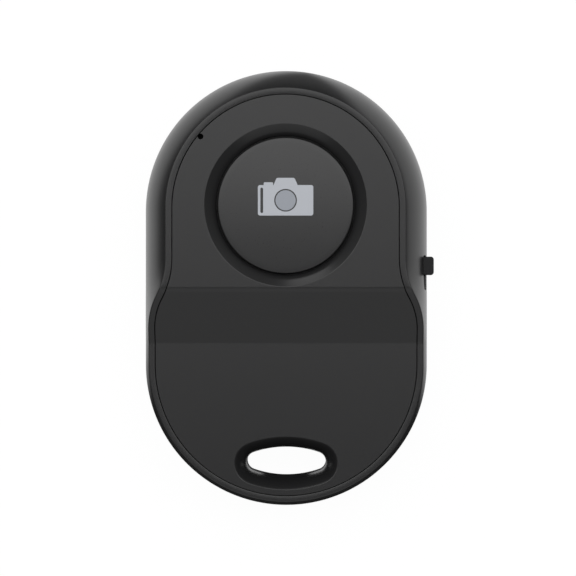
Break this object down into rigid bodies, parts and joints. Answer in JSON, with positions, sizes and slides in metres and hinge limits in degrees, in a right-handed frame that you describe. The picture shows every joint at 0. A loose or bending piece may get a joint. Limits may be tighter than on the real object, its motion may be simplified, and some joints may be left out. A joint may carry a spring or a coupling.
{
  "type": "camera remote fob",
  "caption": "Pocket camera shutter remote: a stepped two-shell fob with a round push button, a side slide switch, a cord slot and a coin cell under a twist door.",
  "frame": {"origin": "middle of the body's length and width, on the flat back", "axes": "+X to the side with the power switch, +Y from the tail to the head, +Z out of the front face"},
  "size_m": [0.0327, 0.0494, 0.011],
  "materials": {
    "shell": "satin black moulded plastic",
    "panel": "satin black moulded plastic",
    "button": "satin black moulded plastic, very fine grain",
    "mark": "light grey printed ink",
    "board": "green solder mask over glass laminate",
    "screw_steel": "zinc plated steel",
    "gold": "gold plated spring bronze",
    "chip": "moulded black epoxy",
    "nickel": "nickel plated steel",
    "ceramic": "fired ceramic with tinned ends",
    "lamp": "clear lamp on a pale base",
    "knob": "black nylon",
    "cell_steel": "brushed stainless steel",
    "gasket": "grey moulded sealing ring",
    "cathode": "pressed black powder pellet"
  },
  "bodies": {
    "case": {"front_shell": "shell", "face_panel": "panel", "rear_shell": "shell", "circuit_board": "board", "board_screws": "screw_steel", "antenna_trace": "gold", "radio_chip": "chip", "memory_chip": "chip", "crystal": "nickel", "capacitors": "ceramic", "resistors": "chip", "status_lamp": "lamp", "push_base": "chip", "push_dome": "nickel", "push_cover": "nickel", "push_terminals": "nickel", "switch_base": "chip", "switch_cover": "nickel", "switch_terminals": "nickel", "coin_cell_can": "cell_steel", "coin_cell_gasket": "gasket", "coin_cell_lid": "cell_steel", "coin_cell_cathode": "cathode", "coin_cell_anode": "nickel", "positive_contact": "gold", "negative_contact": "gold"},
    "button": {"shutter_button": "button", "camera_mark": "mark"},
    "plunger": {"push_plunger": "knob"},
    "power_knob": {"switch_slider": "knob", "switch_wiper": "gold"},
    "door": {"battery_door": "shell"}
  },
  "joints": [
    {"name": "button_press", "type": "slide", "parent": "case", "child": "button", "axis": [0, 0, -1], "range_m": [0, 0.0003], "stiffness_N_per_m": 4000, "deforming": ["push_dome"]},
    {"name": "plunger_press", "type": "slide", "parent": "case", "child": "plunger", "axis": [0, 0, -1], "range_m": [0, 0.0003]},
    {"name": "power_slide", "type": "slide", "parent": "case", "child": "power_knob", "axis": [0, -1, 0], "range_m": [0, 0.0015]},
    {"name": "door_twist", "type": "hinge", "parent": "case", "child": "door", "pos_m": [0, 0.0087, 0], "axis": [0, 0, -1], "range_deg": [0, 40]}
  ],
  "couplings": [
    {"joint": "plunger_press", "follows": "button_press", "ratio": 1}
  ]
}
